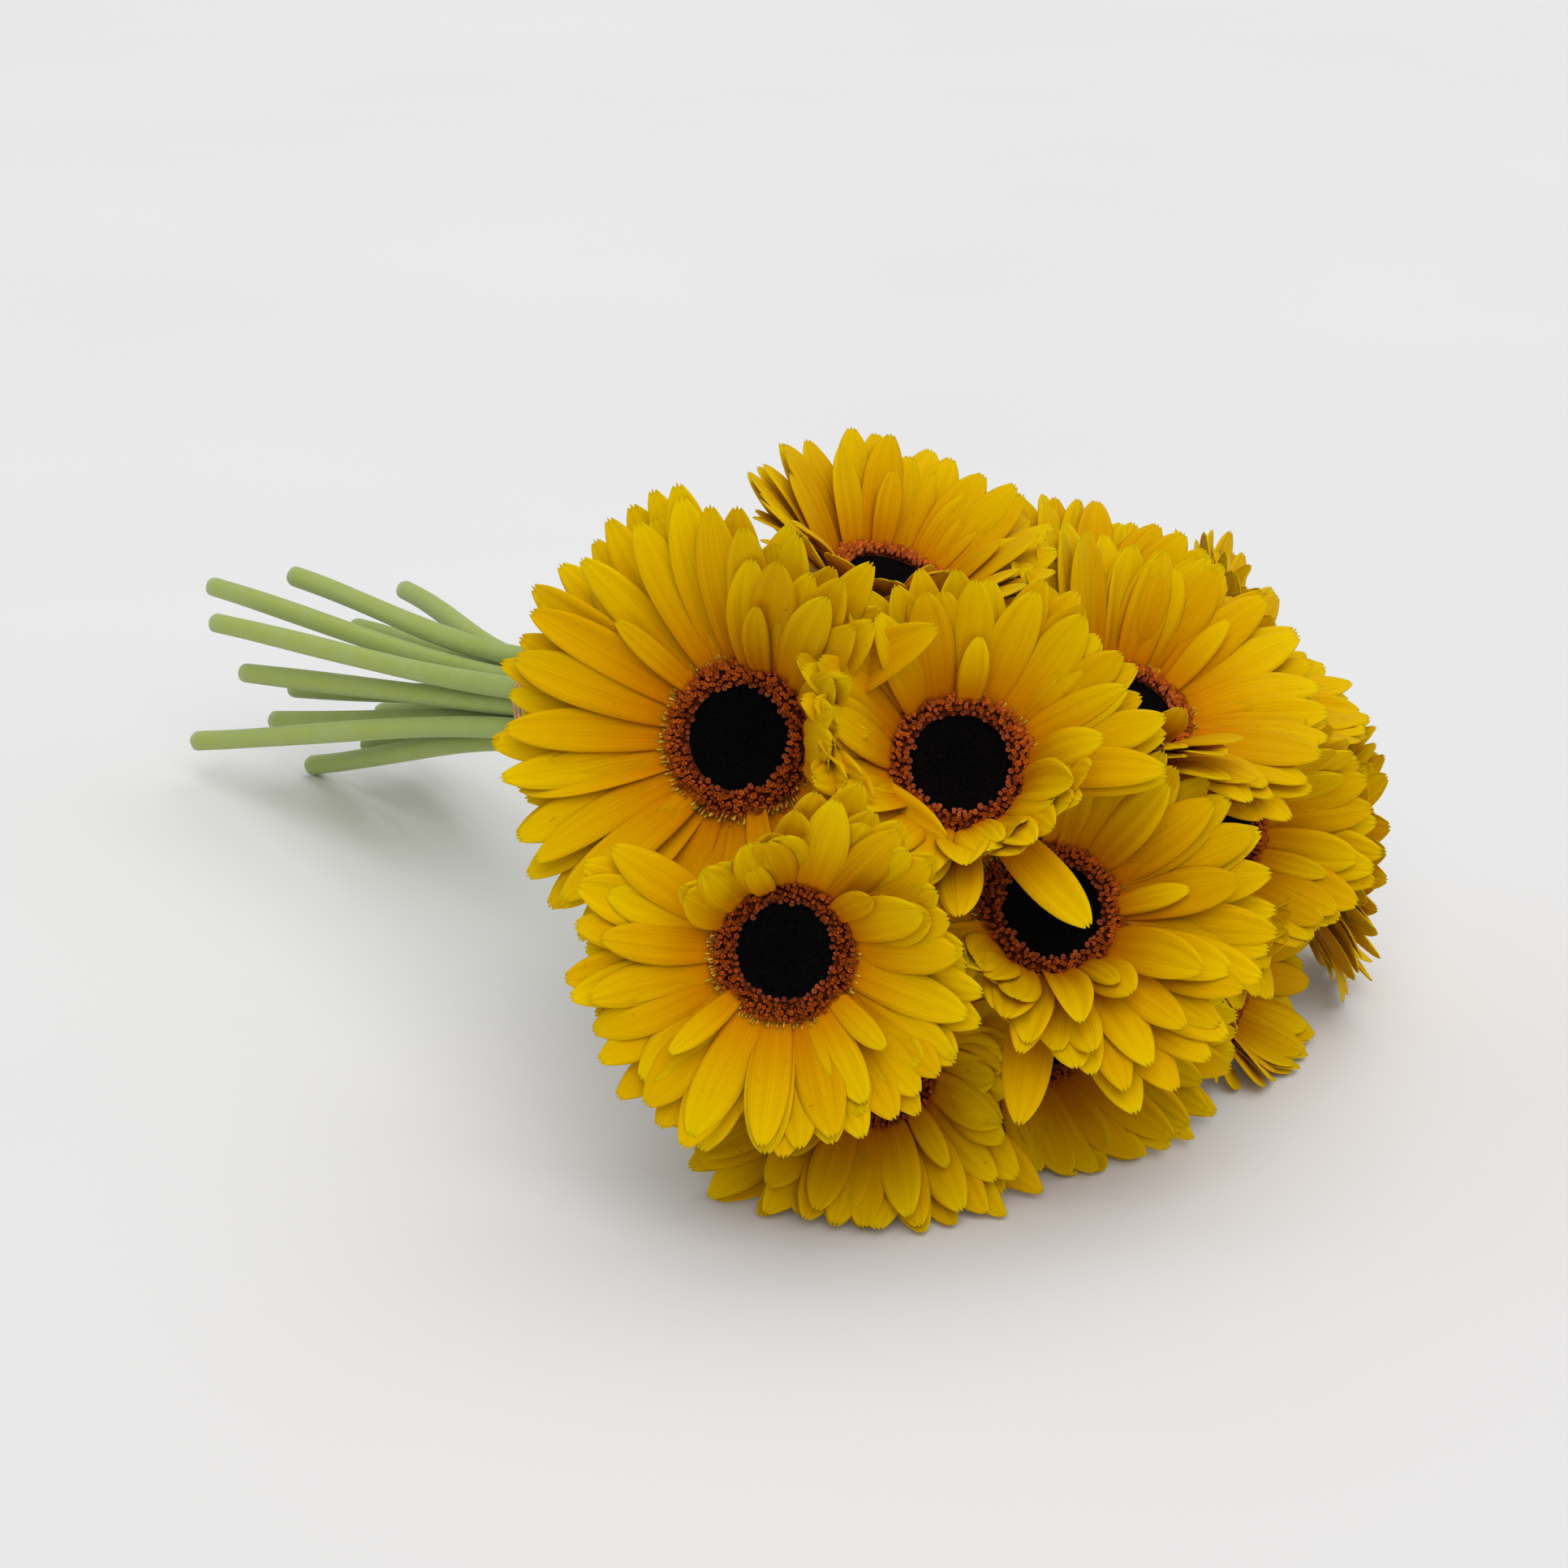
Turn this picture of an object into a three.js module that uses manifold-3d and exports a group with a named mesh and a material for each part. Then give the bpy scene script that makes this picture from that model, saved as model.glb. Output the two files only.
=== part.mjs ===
// A bunch of thirteen gerberas, held by a rubber band round its stems and laid down on a flat surface.
// Units are millimetres. +X runs from the cut ends towards the flower heads, +Z is up, and the surface
// is z = 0.
//
// Each flower is four pieces: a stem, a calyx of green bracts, the ring of yellow rays, and the disc of
// small florets. The stems pass side by side through the band, in a six-sided packing, and fan out on both
// sides of it. The rays of one head are a thin scalloped dish. Each scallop leans forward or back until it
// clears the heads round it, as rays do when heads are pressed together, and whatever still touches a
// neighbour is cut back.
import * as THREE from "three";
import { mergeVertices } from "three/addons/utils/BufferGeometryUtils.js";
import Module from "manifold-3d";

const wasm = await Module();
wasm.setup();

// ---------- driving dimensions ----------
const GAP = 0.35; // clearance between two pieces that touch

const TIE_HEIGHT = 72; // middle of the band above the surface
const TIE_AXIS = [-3, 11]; // the way the bundle runs through the band
const BAND_WIDTH = 8;
const BAND_THICKNESS = 1.5;
const BAND_CLEARANCE = 0.9; // from the straight bundle to the band, which the stems leave a little bent

const STEM_RADIUS = 3.2;
const STEM_CLEARANCE = 0.6; // between neighbouring stems in the band
const STEM_PITCH = 2 * STEM_RADIUS + STEM_CLEARANCE;
const STEM_SIDES = 8;
const STEM_STEPS = 20;
const TAIL_BEND = 55; // over which a tail turns out of the band
const NECK_LENGTH = 26; // over which a stem turns to meet its head
const NECK_GAP = 0.7; // between a stem and its calyx, wider as the end of a bent stem is not quite square

const CALYX_DEPTH = 15; // from the top of the stem to the underside of the rays
const CALYX_INSET = 3.5; // the calyx is this much smaller in radius than the disc
const CALYX_SIDES = 12;
const DISC_DOME = 3; // height of the middle of the disc above its rim
const DISC_DEPTH = 4.5; // from the disc's rim down to the rays
const DISC_SIDES = 16;

const RAY_THICKNESS = 1.6;
const RAY_COLUMNS = 36; // two for each scallop of the dish
const RAY_NOTCH = 0.14; // depth of the gap between two scallops, as a share of the ray
const RAY_HUB = 5; // width of the rays' hidden foot, under the disc
const RAY_HINGE = 0.8; // from the disc's edge out to where a ray starts to rise
const RAY_BOW = 0.05; // how far the middle of a ray bows forward, as a share of its length

const SAME_LEVEL = 12; // heads within this distance along their axes press side by side; others overlap
const HEAD_CLEARANCE = 3;
const SURFACE_CLEARANCE = 1.2;

const COLOURS = { stem: 0x9fb45a, calyx: 0x6f8a3c, rays: 0xe8bd00, disc: 0x2a120a, band: 0xb98a52 };

// Directions are [turn, rise] in degrees: turn from +X towards +Y, rise above the horizontal.
// Each flower: its slot in the band, in half pitches across and rows up; the direction and length of its
// stem from the band; the way its head faces; the radius of its disc; the length of its rays, how far they
// open forward, and the most that they bend forward where heads press; and the direction of its tail, up
// through the band from the cut end, and its length. The slots lie like the heads and the cut ends, so no
// two stems cross.
const FLOWERS = [
  {
    slot: [-3, 1], stem: [-24, 15], reach: 174, faces: [-62, 20],
    disc: 18.5, ray: 45.5, opens: 12, most: 48, tail: [1, 5], length: 172,
  },
  {
    slot: [-1, 1], stem: [-11, 12], reach: 208, faces: [-41, 36],
    disc: 17.5, ray: 35, opens: 30, most: 50, tail: [-4, 3.5], length: 198,
  },
  {
    slot: [-2, 0], stem: [-25, 2], reach: 214, faces: [-45, 17],
    disc: 16.5, ray: 35, opens: 12, most: 50, tail: [-1.5, 11], length: 170,
  },
  {
    slot: [-1, -1], stem: [-5, 1], reach: 213, faces: [-34, 34],
    disc: 17.5, ray: 38.5, opens: 22, most: 58, tail: [-5, 17], length: 174,
  },
  {
    slot: [0, 0], stem: [7, 12], reach: 203, faces: [-8, 60],
    disc: 16, ray: 38, opens: 22, most: 58, tail: [-8, 14], length: 174,
  },
  {
    slot: [0, 2], stem: [-5, 26], reach: 166, faces: [8, 70],
    disc: 16, ray: 32, opens: 40, most: 50, tail: [-8, 1], length: 165,
  },
  {
    slot: [-3, -1], stem: [-14, -13], reach: 187, faces: [-44, 16],
    disc: 16.5, ray: 38.5, opens: 20, most: 75, tail: [1.5, 17.5], length: 192,
  },
  {
    slot: [0, -2], stem: [2, -13], reach: 192, faces: [-18, 2],
    disc: 16.5, ray: 37.5, opens: 30, most: 80, tail: [-9, 22.5], length: 178,
  },
  {
    slot: [2, 0], stem: [21, -2], reach: 201, faces: [-6, 12],
    disc: 16.5, ray: 33, opens: 32, most: 62, tail: [-16, 18], length: 157,
  },
  {
    slot: [1, -1], stem: [22, -13], reach: 210, faces: [24, 2],
    disc: 15.5, ray: 25, opens: 30, most: 80, tail: [-13.5, 21.5], length: 157,
  },
  {
    slot: [3, -1], stem: [37, -8], reach: 216, faces: [50, 4],
    disc: 16, ray: 30, opens: 26, most: 72, tail: [-21, 21], length: 157,
  },
  {
    slot: [3, 1], stem: [35, 6], reach: 194, faces: [36, 34],
    disc: 16.5, ray: 30.5, opens: 30, most: 62, tail: [-20, 3.5], length: 154,
  },
  {
    slot: [1, 1], stem: [22, 16], reach: 168, faces: [24, 66],
    disc: 16, ray: 29.5, opens: 38, most: 62, tail: [-13, 7], length: 150,
  },
];

// ---------- directions and frames ----------
const UP = new THREE.Vector3(0, 0, 1);
const vec = (x, y, z) => new THREE.Vector3(x, y, z);

function direction([turn, rise]) {
  const t = THREE.MathUtils.degToRad(turn);
  const r = THREE.MathUtils.degToRad(rise);
  return vec(Math.cos(r) * Math.cos(t), Math.cos(r) * Math.sin(t), Math.sin(r));
}

// A right-handed frame whose Y axis is the given axis and whose X axis is level.
function frameAlong(axis, origin) {
  const level = UP.clone().cross(axis).normalize();
  return new THREE.Matrix4().makeBasis(level, axis, level.clone().cross(axis)).setPosition(origin);
}

const tie = vec(0, 0, TIE_HEIGHT);
const bundleAxis = direction(TIE_AXIS);
const bundleFrame = frameAlong(bundleAxis, tie);

// ---------- where each head is ----------
const heads = FLOWERS.map((flower) => {
  const axis = direction(flower.faces);
  const centre = tie.clone().addScaledVector(direction(flower.stem), flower.reach);
  const frame = frameAlong(axis, centre);
  const [across, rows] = flower.slot;
  const slot = vec((across * STEM_PITCH) / 2, 0, -rows * STEM_PITCH * Math.sqrt(0.75));
  const place = slot.applyMatrix4(bundleFrame);
  return { ...flower, axis, centre, frame, inverse: frame.clone().invert(), place };
});

// ---------- solids ----------
// Geometry with only its positions, so that shared vertices merge and the mesh is closed.
function closed(geometry) {
  const bare = geometry.clone();
  bare.deleteAttribute("uv");
  bare.deleteAttribute("normal");
  return mergeVertices(bare, 1e-4);
}

function toSolid(geometry) {
  const merged = closed(geometry);
  return new wasm.Manifold(
    new wasm.Mesh({
      numProp: 3,
      vertProperties: merged.attributes.position.array,
      triVerts: new Uint32Array(merged.index.array),
    }),
  );
}

function toGeometry(solid) {
  const mesh = solid.getMesh();
  const geometry = new THREE.BufferGeometry();
  geometry.setAttribute("position", new THREE.BufferAttribute(new Float32Array(mesh.vertProperties), 3));
  geometry.setIndex(new THREE.BufferAttribute(new Uint32Array(mesh.triVerts), 1));
  geometry.computeVertexNormals();
  return geometry;
}

const profile = (pairs) => pairs.map(([radius, height]) => new THREE.Vector2(radius, height));

// ---------- stem ----------
const discBottom = -DISC_DEPTH;
const rayTop = discBottom - GAP;
const rayBottom = rayTop - RAY_THICKNESS;
const calyxTop = rayBottom - GAP;
const calyxBottom = calyxTop - CALYX_DEPTH;
const stemTop = calyxBottom - NECK_GAP;

function stemPath(head) {
  const place = head.place;
  const cutEnd = tie.clone().addScaledVector(direction(head.tail), -head.length);
  const neck = head.centre.clone().addScaledVector(head.axis, stemTop);
  const tail = new THREE.CubicBezierCurve3(
    cutEnd,
    cutEnd.clone().lerp(place, 0.35),
    place.clone().addScaledVector(bundleAxis, -TAIL_BEND),
    place,
  );
  const rise = new THREE.CubicBezierCurve3(
    place,
    place.clone().addScaledVector(bundleAxis, place.distanceTo(neck) * 0.3),
    neck.clone().addScaledVector(head.axis, -NECK_LENGTH),
    neck,
  );
  const path = new THREE.CurvePath();
  path.add(tail);
  path.add(rise);
  return path;
}

function stemGeometry(head, grow = 0) {
  const section = new THREE.Shape();
  for (let i = 0; i < STEM_SIDES; i++) {
    const a = (2 * Math.PI * i) / STEM_SIDES;
    const r = STEM_RADIUS + grow;
    if (i) section.lineTo(r * Math.cos(a), r * Math.sin(a));
    else section.moveTo(r, 0);
  }
  return new THREE.ExtrudeGeometry(section, {
    extrudePath: head.path,
    steps: STEM_STEPS,
    bevelEnabled: false,
  });
}

// ---------- calyx and disc, turned about the flower's own axis ----------
function calyxGeometry(head, grow = 0) {
  const rim = head.disc - CALYX_INSET + grow;
  const foot = STEM_RADIUS + 0.8 + grow;
  const low = calyxBottom - grow;
  const high = calyxTop + grow;
  return new THREE.LatheGeometry(
    profile([[0, low], [foot, low], [rim * 0.72, low + CALYX_DEPTH * 0.35], [rim, high], [0, high]]),
    CALYX_SIDES,
  );
}

function discGeometry(head, grow = 0) {
  const rim = head.disc + grow;
  const low = discBottom - grow;
  return new THREE.LatheGeometry(
    profile([[0, low], [rim, low], [rim, grow], [rim * 0.8, DISC_DOME + grow], [0, DISC_DOME * 0.7 + grow]]),
    DISC_SIDES,
  );
}

// ---------- rays ----------
// A ray's point at a distance out from its hinge and a height off its own line, in the flower's frame.
function rayPoint(head, bearing, lift, out, height = 0) {
  const radius = head.disc + RAY_HINGE + out * Math.cos(lift) - height * Math.sin(lift);
  const level = rayTop + out * Math.sin(lift) + height * Math.cos(lift);
  return vec(radius * Math.sin(bearing), level, radius * Math.cos(bearing));
}

const RAY_STATIONS = [0.35, 0.6, 0.8, 1];
const outerRadius = (head) => head.disc + RAY_HINGE + head.ray;

// How two heads lie to each other: 1 if a is over b, -1 if it is under b, 0 if they press side by side.
function levelOf(a, b) {
  const facing = a.axis.clone().add(b.axis).normalize();
  const ahead = a.centre.clone().sub(b.centre).dot(facing);
  return Math.abs(ahead) < SAME_LEVEL ? 0 : Math.sign(ahead);
}

function nearHeads(head) {
  return heads
    .filter((other) => other !== head)
    .filter((other) => other.centre.distanceTo(head.centre) < outerRadius(head) + outerRadius(other))
    .map((other) => {
      const facing = head.axis.clone().add(other.axis).normalize();
      const apart = other.centre.clone().sub(head.centre);
      const wall = apart.clone().addScaledVector(facing, -apart.dot(facing)).normalize();
      const middle = head.centre.clone().add(other.centre).multiplyScalar(0.5);
      return { other, level: levelOf(head, other), wall, middle };
    });
}

// How badly a point on one head's ray runs into the surface and the heads round it.
function trouble(point, near) {
  let sum = point.z < SURFACE_CLEARANCE ? 3 : 0;
  for (const { other, level, wall, middle } of near) {
    const local = point.clone().applyMatrix4(other.inverse);
    const radius = Math.hypot(local.x, local.z);
    const overCalyx = radius < other.disc + HEAD_CLEARANCE && local.y > calyxBottom;
    if (overCalyx && local.y < DISC_DOME + HEAD_CLEARANCE) sum += 2;
    if (level === 0) {
      if (point.clone().sub(middle).dot(wall) > -1) sum += 1;
    } else if (radius < outerRadius(other)) {
      const lift = THREE.MathUtils.degToRad(other.opens);
      const dish = rayTop + (radius - other.disc) * Math.tan(lift);
      if (level * (local.y - dish) < HEAD_CLEARANCE) sum += 1;
    }
    if (other.path.samples.some((s) => s.distanceTo(point) < STEM_RADIUS + HEAD_CLEARANCE)) sum += 0.5;
  }
  return sum;
}

// The lift of the ray at one bearing: the one nearest the flower's own that clears what is round it.
const LIFT_STEP = 5;
const LEAST_LIFT = -25;
function clearLift(head, bearing, near) {
  let best = { cost: Infinity, lift: head.opens };
  for (let lift = LEAST_LIFT; lift <= head.most; lift += LIFT_STEP) {
    const radians = THREE.MathUtils.degToRad(lift);
    const hits = RAY_STATIONS.reduce((sum, share) => {
      const point = rayPoint(head, bearing, radians, head.ray * share).applyMatrix4(head.frame);
      return sum + trouble(point, near);
    }, 0);
    const cost = hits * 100 + Math.abs(lift - head.opens);
    if (cost < best.cost) best = { cost, lift };
  }
  return THREE.MathUtils.degToRad(best.lift);
}

function findLifts(head) {
  const near = nearHeads(head);
  const raw = Array.from({ length: RAY_COLUMNS }, (_, k) =>
    clearLift(head, (2 * Math.PI * k) / RAY_COLUMNS, near),
  );
  const at = (k) => raw[(k + RAY_COLUMNS) % RAY_COLUMNS];
  head.lifts = raw.map((_, k) => (at(k - 1) + 2 * at(k) + at(k + 1)) / 4);
}

// The dish is turned flat, then each of its columns is folded up by that column's lift.
function raysGeometry(head, grow = 0) {
  const top = grow;
  const low = -RAY_THICKNESS - grow;
  const foot = head.disc - RAY_HUB - grow;
  const hinge = head.disc + RAY_HINGE;
  const bend = hinge + head.ray * 0.4;
  const tip = outerRadius(head) + grow;
  const bow = head.ray * RAY_BOW;
  const under = [[foot, low], [hinge, low], [bend, low + bow], [tip, 0]];
  const over = [[bend, top + bow], [hinge, top], [foot, top], [foot, low]];
  const flat = new THREE.LatheGeometry(profile([...under, ...over]), RAY_COLUMNS);
  const position = flat.attributes.position;
  for (let i = 0; i < position.count; i++) {
    const [x, y, z] = [position.getX(i), position.getY(i), position.getZ(i)];
    const radius = Math.hypot(x, z);
    const bearing = Math.atan2(x, z);
    const column = (Math.round((bearing * RAY_COLUMNS) / (2 * Math.PI)) + RAY_COLUMNS) % RAY_COLUMNS;
    const out = radius - hinge;
    const notch = radius > bend + 1 && column % 2 ? RAY_NOTCH * head.ray : 0;
    const lift = out > 0 ? head.lifts[column] : 0;
    const moved = rayPoint(head, bearing, lift, out - notch, y);
    position.setXYZ(i, moved.x, moved.y, moved.z);
  }
  return flat;
}

// ---------- the rubber band ----------
function bandGeometry() {
  const corner = STEM_PITCH * Math.sqrt(3);
  const outline = (radius, make) => {
    for (let k = 0; k < 6; k++) {
      const a = Math.PI / 6 + (k * Math.PI) / 3;
      const [x, y] = [corner * Math.cos(a), corner * Math.sin(a)];
      make.absarc(x, y, radius, a - Math.PI / 6, a + Math.PI / 6, false);
    }
    make.closePath();
    return make;
  };
  const shape = outline(STEM_RADIUS + BAND_CLEARANCE + BAND_THICKNESS, new THREE.Shape());
  shape.holes.push(outline(STEM_RADIUS + BAND_CLEARANCE, new THREE.Path()));
  return new THREE.ExtrudeGeometry(shape, { depth: BAND_WIDTH, bevelEnabled: false, curveSegments: 3 })
    .translate(0, 0, -BAND_WIDTH / 2)
    .rotateX(Math.PI / 2);
}

// ---------- the model ----------
const bunch = new THREE.Group();

function addPiece(name, geometry, colour, roughness, frame) {
  const material = new THREE.MeshStandardMaterial({ color: colour, roughness, metalness: 0 });
  const piece = new THREE.Mesh(geometry, material);
  piece.name = name;
  if (frame) frame.decompose(piece.position, piece.quaternion, piece.scale);
  bunch.add(piece);
}

for (const head of heads) {
  head.path = stemPath(head);
  head.path.samples = head.path.getSpacedPoints(STEM_STEPS);
}
heads.forEach(findLifts);

// Everything of a head that another head's rays are cut back from, each piece a little larger than itself.
for (const head of heads) {
  head.core = [
    toSolid(stemGeometry(head, GAP)),
    toSolid(calyxGeometry(head, GAP).applyMatrix4(head.frame)),
    toSolid(discGeometry(head, GAP).applyMatrix4(head.frame)),
  ];
  head.dish = toSolid(raysGeometry(head, GAP).applyMatrix4(head.frame));
}

// The rays that show in front stay whole, and those behind or beside them are cut back.
function cutRays(head, index) {
  let solid = toSolid(raysGeometry(head).applyMatrix4(head.frame));
  heads.forEach((other, otherIndex) => {
    if (other === head) return;
    for (const piece of other.core) solid = solid.subtract(piece);
    const level = levelOf(head, other);
    if (level < 0 || (level === 0 && otherIndex < index)) solid = solid.subtract(other.dish);
  });
  return solid.decompose().reduce((a, b) => (b.volume() > a.volume() ? b : a));
}

heads.forEach((head, index) => {
  const number = String(index + 1).padStart(2, "0");
  addPiece(`stem_${number}`, stemGeometry(head), COLOURS.stem, 0.6);
  addPiece(`calyx_${number}`, calyxGeometry(head), COLOURS.calyx, 0.7, head.frame);
  addPiece(`rays_${number}`, toGeometry(cutRays(head, index)), COLOURS.rays, 0.5);
  addPiece(`disc_${number}`, discGeometry(head), COLOURS.disc, 0.9, head.frame);
});
addPiece("rubber_band", bandGeometry(), COLOURS.band, 0.7, bundleFrame);

// The origin is the middle of the bunch's footprint, on the surface.
bunch.updateMatrixWorld(true);
const bounds = new THREE.Box3().setFromObject(bunch, true);
const middle = bounds.getCenter(vec(0, 0, 0));
bunch.position.set(-middle.x, -middle.y, -bounds.min.z);

const gerberaBunch = new THREE.Group();
gerberaBunch.add(bunch);

export default gerberaBunch;
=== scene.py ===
# %% [markdown]
# # A bunch of gerberas
# Thirteen cut gerberas lie on a pale surface, held by a rubber band round their stems. The fixed frame holds
# the place and size of every flower. This lesson builds the looks around it: green stems and calyxes, sixty
# to a hundred petals a head, and the ring of tiny florets round each dark eye. Every new piece takes its
# place from the frame.

import math
import random

import bmesh
import bpy
from mathutils import Matrix, Vector


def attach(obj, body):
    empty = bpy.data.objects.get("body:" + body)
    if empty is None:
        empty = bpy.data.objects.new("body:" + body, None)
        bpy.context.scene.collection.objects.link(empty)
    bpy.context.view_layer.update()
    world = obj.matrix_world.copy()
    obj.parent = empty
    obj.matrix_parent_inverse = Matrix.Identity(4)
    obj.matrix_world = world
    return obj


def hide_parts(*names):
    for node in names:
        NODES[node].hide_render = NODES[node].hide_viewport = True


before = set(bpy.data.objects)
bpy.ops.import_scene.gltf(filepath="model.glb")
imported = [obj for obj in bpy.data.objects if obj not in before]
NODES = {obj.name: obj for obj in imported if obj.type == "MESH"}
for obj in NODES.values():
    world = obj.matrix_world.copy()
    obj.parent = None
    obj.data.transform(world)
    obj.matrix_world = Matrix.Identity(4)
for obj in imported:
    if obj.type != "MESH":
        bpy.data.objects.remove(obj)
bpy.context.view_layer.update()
MM = 0.001
print("frame has", len(NODES), "nodes")

# %% [markdown]
# ## The view, the floor and the light
# The bunch is seen from a little above, with the heads towards the viewer. A long lens keeps the heads in
# proportion. The surface is a plain pale sheet, big enough to have no edge in view. Two wide lamps and a
# pale sky light it, so shadows are soft: the first lamp is in front and a little to the right, and the
# second is overhead and behind.

# %% The camera
CAMERA_FROM_WAIST = Vector((0.786, -0.635, 0.342))
CAMERA_AIM = Vector((-0.692, 0.636, -0.342))
CAMERA_LENS = 84.7
CAMERA_SENSOR = 36


def middle_of(node):
    """The middle of a frame node's corners."""
    points = [v.co for v in NODES[node].data.vertices]
    return sum(points, Vector()) / len(points)


waist = middle_of("rubber_band")
camera_data = bpy.data.cameras.new("camera")
camera_data.lens = CAMERA_LENS
camera_data.sensor_width = CAMERA_SENSOR
camera = bpy.data.objects.new("camera", camera_data)
camera.location = waist + CAMERA_FROM_WAIST
camera.rotation_euler = CAMERA_AIM.to_track_quat("-Z", "Y").to_euler()
bpy.context.collection.objects.link(camera)
bpy.context.scene.camera = camera
bpy.context.scene.view_settings.view_transform = "Standard"
print("camera at", tuple(round(v, 3) for v in camera.location))

# %% [markdown]
# ## Helpers for finishes
# Every finish is a small graph of nodes in front of one shader. These helpers add a node, a colour ramp or a
# colour mix in one line each. A value given to an input is either a plain number or another node's output.

# %% Helpers for finishes
def new_material(name):
    """A material, its shader, and two functions that add a node and join an output to an input."""
    material = bpy.data.materials.new(name)
    material.use_nodes = True
    tree = material.node_tree
    shader = tree.nodes["Principled BSDF"]

    def add(kind, inputs=None, **settings):
        node = tree.nodes.new(kind)
        for key, value in settings.items():
            setattr(node, key, value)
        for key, value in (inputs or {}).items():
            if isinstance(value, bpy.types.NodeSocket):
                tree.links.new(value, node.inputs[key])
            else:
                node.inputs[key].default_value = value
        return node

    def join(output, node_input):
        tree.links.new(output, node_input)

    return material, shader, add, join


def add_ramp(add, factor, stops):
    """A colour ramp with the given (position, colour) stops."""
    ramp = add("ShaderNodeValToRGB", {"Fac": factor})
    elements = ramp.color_ramp.elements
    for _ in range(len(stops) - 2):
        elements.new(0.5)
    for element, (position, colour) in zip(elements, stops):
        element.position = position
        element.color = (*colour, 1)
    return ramp.outputs["Color"]


def add_mix(add, blend, factor, first, second):
    """A colour mix of the given kind."""
    mix = add("ShaderNodeMix", data_type="RGBA", blend_type=blend)
    for socket, value in ((mix.inputs[0], factor), (mix.inputs[6], first), (mix.inputs[7], second)):
        if isinstance(value, bpy.types.NodeSocket):
            mix.id_data.links.new(value, socket)
        else:
            socket.default_value = value
    return mix.outputs[2]


# %% The floor
FLOOR_HALF = 9.0


def floor_material():
    material, shader, add, join = new_material("pale_surface")
    place = add("ShaderNodeTexCoord").outputs["Object"]
    cloud = add("ShaderNodeTexNoise", {"Vector": place, "Scale": 3.0, "Detail": 2.0})
    tint = add_ramp(add, cloud.outputs["Fac"], [(0.3, (0.785, 0.785, 0.79)), (0.7, (0.805, 0.805, 0.81))])
    join(tint, shader.inputs["Base Color"])
    shader.inputs["Roughness"].default_value = 0.8
    shader.inputs["Specular IOR Level"].default_value = 0.2
    return material


bm = bmesh.new()
bmesh.ops.create_grid(bm, x_segments=4, y_segments=4, size=FLOOR_HALF)
floor_mesh = bpy.data.meshes.new("floor")
bm.to_mesh(floor_mesh)
bm.free()
floor = bpy.data.objects.new("floor", floor_mesh)
floor.data.materials.append(floor_material())
bpy.context.collection.objects.link(floor)

# %% The light
def add_sky_lamp(name, place, strength, spread, colour):
    """A far lamp, some degrees wide, which lights near and far parts of the surface alike."""
    data = bpy.data.lights.new(name, "SUN")
    data.energy = strength
    data.angle = math.radians(spread)
    data.color = colour
    lamp = bpy.data.objects.new(name, data)
    lamp.location = place
    lamp.rotation_euler = (-Vector(place)).to_track_quat("-Z", "Y").to_euler()
    bpy.context.collection.objects.link(lamp)


add_sky_lamp("key", (0.84, -0.66, 1.12), 1.55, 48, (1.0, 0.99, 0.975))
add_sky_lamp("back", (0.0, 0.35, 1.2), 0.9, 60, (1.0, 0.985, 0.97))
world = bpy.data.worlds.new("sky")
world.use_nodes = True
background = world.node_tree.nodes["Background"]
background.inputs["Color"].default_value = (0.975, 0.985, 1.0, 1)
background.inputs["Strength"].default_value = 0.42
bpy.context.scene.world = world

# %% [markdown]
# ## Reading the flowers from the frame
# A flower's own axis runs from the middle of its calyx to the middle of its disc. Bearings round that axis
# start at six o'clock. The frame's ring of rays is a thin dish, whose slope at each bearing says how far
# the petals there lean forward, and whose reach says how much room they have before the next head.

# %% Each flower's place, axis, radius and dish
NUMBERS = [f"{i:02d}" for i in range(1, 14)]
DISC_DOME = 3 * MM  # from the disc's rim up to its top
DISC_DEPTH = 4.5 * MM  # from the rim down to its underside, where the petals start
RAY_HINGE = 0.8 * MM  # from the disc's edge out to the petals' feet
DISH_FOOT = 0.35  # share of the dish, next to its foot, that says too little about its slope
DISH_BLUR = 0.14  # how far round the head a slope is averaged, in radians
DISH_SIDE = 0.13  # how far round the head a reach is looked for, in radians
USUAL_LIFT = 0.4  # the lean where the dish has no reading, in radians
NEAR = 120 * MM  # heads whose middles are nearer than this can press on each other


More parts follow.
